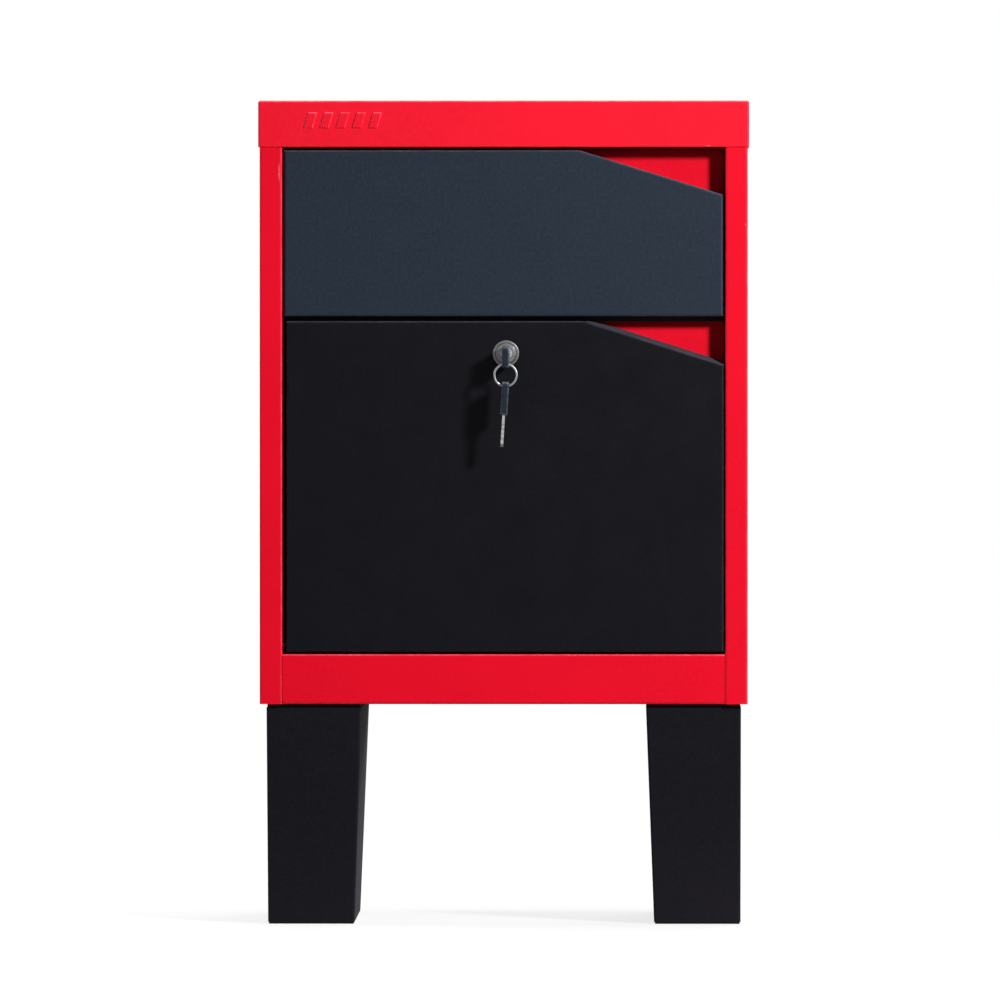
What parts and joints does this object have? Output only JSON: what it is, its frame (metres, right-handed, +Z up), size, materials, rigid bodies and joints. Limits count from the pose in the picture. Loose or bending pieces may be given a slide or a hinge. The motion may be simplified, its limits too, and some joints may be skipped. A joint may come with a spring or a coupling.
{
  "type": "newspaper vending box",
  "caption": "Free-standing sheet-steel newspaper box with a bottom-hinged flap above a bottom-hinged lockable door, angled finger grips and two deep tapered legs.",
  "frame": {"origin": "centre of the four foot bolt holes, on the floor under the middle of the cabinet", "axes": "+X to the right seen from the front, the front faces -Y, +Z up"},
  "size_m": [0.4124, 0.341, 0.694],
  "materials": {
    "red_coat": "semi-gloss powder coat",
    "red_liner": "semi-gloss powder coat",
    "flap_coat": "satin powder coat, blue black",
    "door_coat": "satin powder coat, black",
    "leg_coat": "matt powder coat, black",
    "zinc": "zinc plated",
    "black_plate": "black e-coat",
    "nickel": "satin nickel plate",
    "key_steel": "nickel plated, lightly worn",
    "key_plastic": "dark blue grey moulded plastic",
    "ring_steel": "polished spring steel",
    "nylon": "black nylon",
    "catch_plastic": "brown moulded plastic",
    "rubber": "matt"
  },
  "bodies": {
    "cabinet": {"top_cover": "red_coat", "cover_screws": "zinc", "left_side_panel": "red_coat", "right_side_panel": "red_coat", "back_panel": "red_coat", "back_panel_rivets": "zinc", "bottom_pan": "red_coat", "middle_shelf": "red_coat", "lock_keeper": "black_plate", "upper_stop_rail": "red_coat", "flap_bumpers": "rubber", "door_bumpers": "rubber", "magnet_catch": "catch_plastic", "magnet_poles": "zinc", "flap_pivot_pins": "black_plate", "door_pivot_pins": "black_plate", "flap_arm_brackets": "black_plate", "door_arm_brackets": "black_plate", "left_leg": "leg_coat", "right_leg": "leg_coat", "leg_top_plates": "leg_coat", "leg_bolts": "zinc", "leg_nuts": "zinc", "foot_plates": "zinc", "foot_pads": "rubber"},
    "flap": {"flap_panel": "flap_coat", "flap_liner": "red_liner", "flap_liner_rivets": "zinc", "flap_pivot_bushes": "nylon", "flap_stop_arms": "black_plate"},
    "door": {"door_panel": "door_coat", "door_liner": "red_liner", "door_liner_rivets": "zinc", "door_pivot_bushes": "nylon", "door_stop_arms": "black_plate", "lock_housing": "nickel", "lock_nut": "nickel"},
    "lock_core": {"lock_plug": "nickel", "lock_cam": "zinc", "cam_nut": "zinc"},
    "key": {"key_blade": "key_steel", "key_head": "key_plastic"},
    "ring": {"key_ring": "ring_steel"},
    "spare_key": {"spare_key_blade": "key_steel", "spare_key_head": "key_plastic"}
  },
  "joints": [
    {"name": "flap_hinge", "type": "hinge", "parent": "cabinet", "child": "flap", "pos_m": [0, -0.1445, 0.5185], "axis": [1, 0, 0], "range_deg": [0, 60]},
    {"name": "door_hinge", "type": "hinge", "parent": "cabinet", "child": "door", "pos_m": [0, -0.1445, 0.2366], "axis": [1, 0, 0], "range_deg": [0, 90]},
    {"name": "lock_turn", "type": "hinge", "parent": "door", "child": "lock_core", "pos_m": [0.002, -0.15, 0.4816], "axis": [0, 1, 0], "range_deg": [0, 90]},
    {"name": "key_withdraw", "type": "slide", "parent": "lock_core", "child": "key", "axis": [0, -1, 0], "range_m": [0, 0.027]},
    {"name": "ring_swing", "type": "hinge", "parent": "key", "child": "ring", "pos_m": [0.002, -0.1781, 0.4728], "axis": [1, 0, 0], "range_deg": [-60, 12]},
    {"name": "spare_key_swing", "type": "hinge", "parent": "ring", "child": "spare_key", "pos_m": [0.002, -0.1781, 0.4543], "axis": [1, 0, 0], "range_deg": [-60, 15]}
  ]
}
